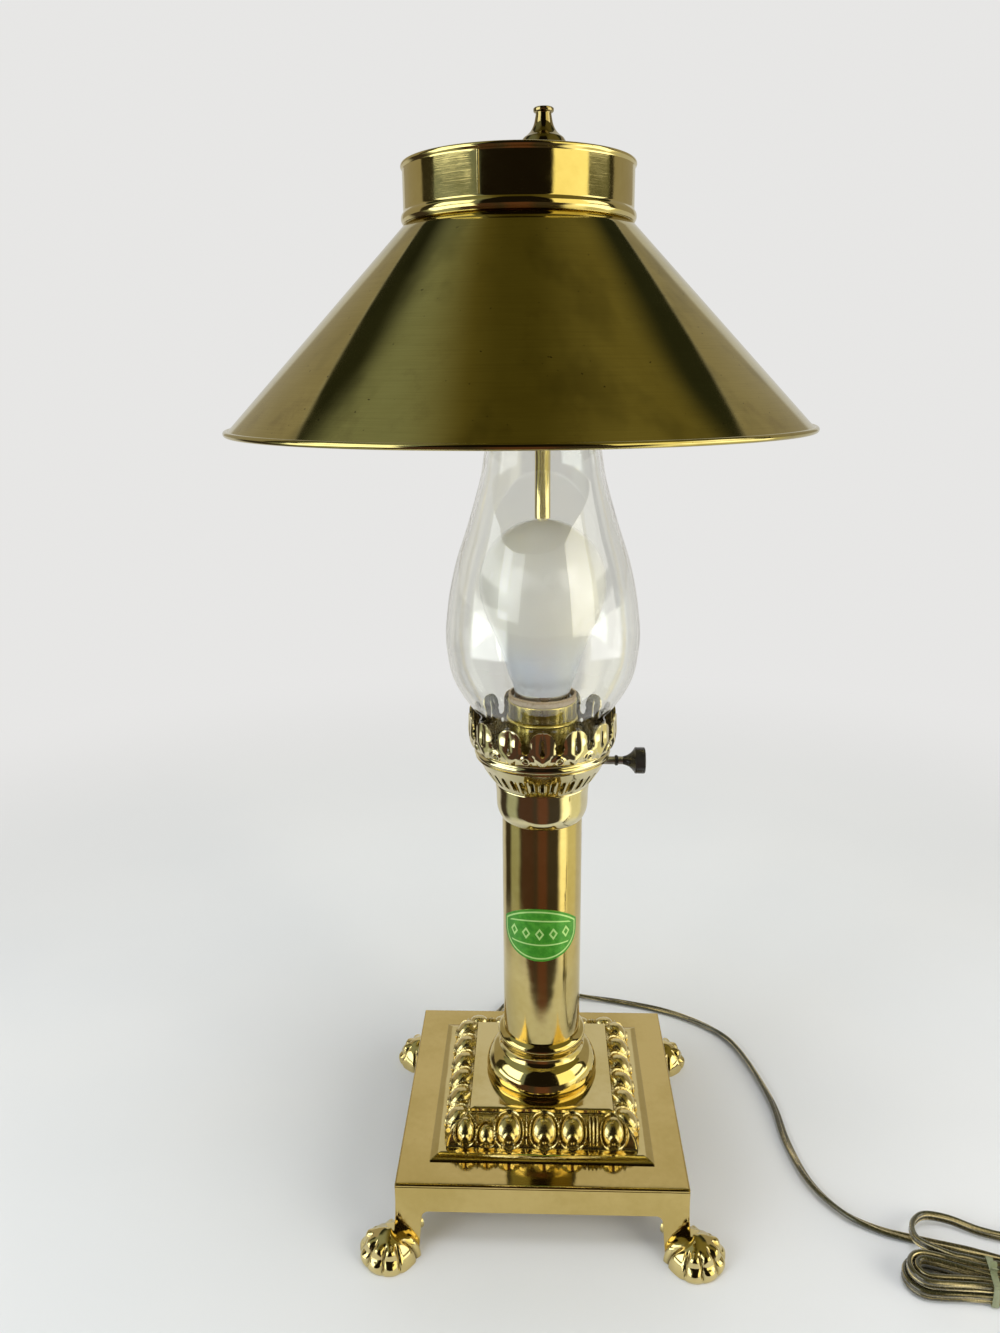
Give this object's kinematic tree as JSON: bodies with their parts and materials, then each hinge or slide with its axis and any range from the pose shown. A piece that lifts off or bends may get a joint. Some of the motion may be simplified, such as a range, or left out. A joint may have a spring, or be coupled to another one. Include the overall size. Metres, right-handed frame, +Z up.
{
  "type": "table lamp",
  "caption": "Brass table lamp with paw feet, a round column, a pierced gallery, a glass chimney with a key-switched bulb, and a metal shade on a bent rod.",
  "frame": {"origin": "on the table, at the centre of the square base, under the column's axis", "axes": "+Z up, -Y the front with the label, +X the side of the switch key, +Y the side of the shade rod"},
  "size_m": [0.4974, 0.2741, 0.5279],
  "materials": {
    "cast_brass": "lacquered brass casting, satin with polished flats",
    "polished_brass": "polished and lacquered brass",
    "column_brass": "polished and lacquered brass tube",
    "bright_brass": "pale bright brass",
    "shade_brass": "satin brass sheet with a fine round grain",
    "steel": "zinc-plated steel",
    "label": "green foil label with a cream rim",
    "black": "black moulded plastic",
    "phenolic": "dark moulded phenolic",
    "card": "brown insulating card",
    "bulb_white": "frosted white glass",
    "bulb_metal": "thin plated shell",
    "stem_glass": "clear glass stem",
    "clear_glass": "clear glass",
    "cord_clear": "clear gold plastic over copper strands",
    "tie_clear": "clear plastic band"
  },
  "bodies": {
    "lamp": {"base_frame": "cast_brass", "paw_front_left": "cast_brass", "paw_front_right": "cast_brass", "paw_back_left": "cast_brass", "paw_back_right": "cast_brass", "paw_screws": "steel", "plinth": "cast_brass", "column_foot": "polished_brass", "column_tube": "column_brass", "column_label": "label", "cup": "polished_brass", "burner_bowl": "polished_brass", "gallery_crown": "polished_brass", "centre_pipe": "steel", "base_washer": "steel", "base_nut": "steel", "cup_nut": "bright_brass", "cord_bushing": "black", "inner_lead": "cord_clear", "rod_arm": "polished_brass", "shade_rod": "bright_brass", "rod_nut": "bright_brass", "socket_cap": "bright_brass", "socket_shell": "bright_brass", "socket_liner": "card", "switch_block": "phenolic", "socket_thread": "bulb_metal", "contact_spring": "bright_brass", "terminal_screws": "bright_brass", "shade_nut": "bright_brass", "cord_run": "cord_clear", "cord_hank": "cord_clear", "cord_tie": "tie_clear", "plug_body": "cord_clear", "plug_blades": "bright_brass"},
    "shade": {"shade_cone": "shade_brass", "shade_collar": "polished_brass", "spider_bar": "polished_brass", "spider_rivets": "bright_brass"},
    "finial": {"finial": "polished_brass"},
    "chimney": {"chimney": "clear_glass"},
    "bulb": {"bulb_glass": "bulb_white", "bulb_base": "bulb_metal", "bulb_stem": "stem_glass"},
    "switch": {"switch_shaft": "steel", "switch_knob": "black"}
  },
  "joints": [
    {"name": "shade_swivel", "type": "hinge", "parent": "lamp", "child": "shade", "pos_m": [0, 0.036, 0.4929], "axis": [0, 0, 1], "range_deg": [-60, 50]},
    {"name": "finial_turn", "type": "hinge", "parent": "lamp", "child": "finial", "pos_m": [0, 0.036, 0.51], "axis": [0, 0, 1], "continuous": true},
    {"name": "chimney_lift", "type": "slide", "parent": "lamp", "child": "chimney", "axis": [0, 0, 1], "range_m": [0, 0.025]},
    {"name": "bulb_out", "type": "slide", "parent": "lamp", "child": "bulb", "axis": [0, 0, 1], "range_m": [0, 0.024]},
    {"name": "switch_turn", "type": "hinge", "parent": "lamp", "child": "switch", "pos_m": [0.03, 0, 0.2293], "axis": [1, 0, 0], "continuous": true}
  ]
}
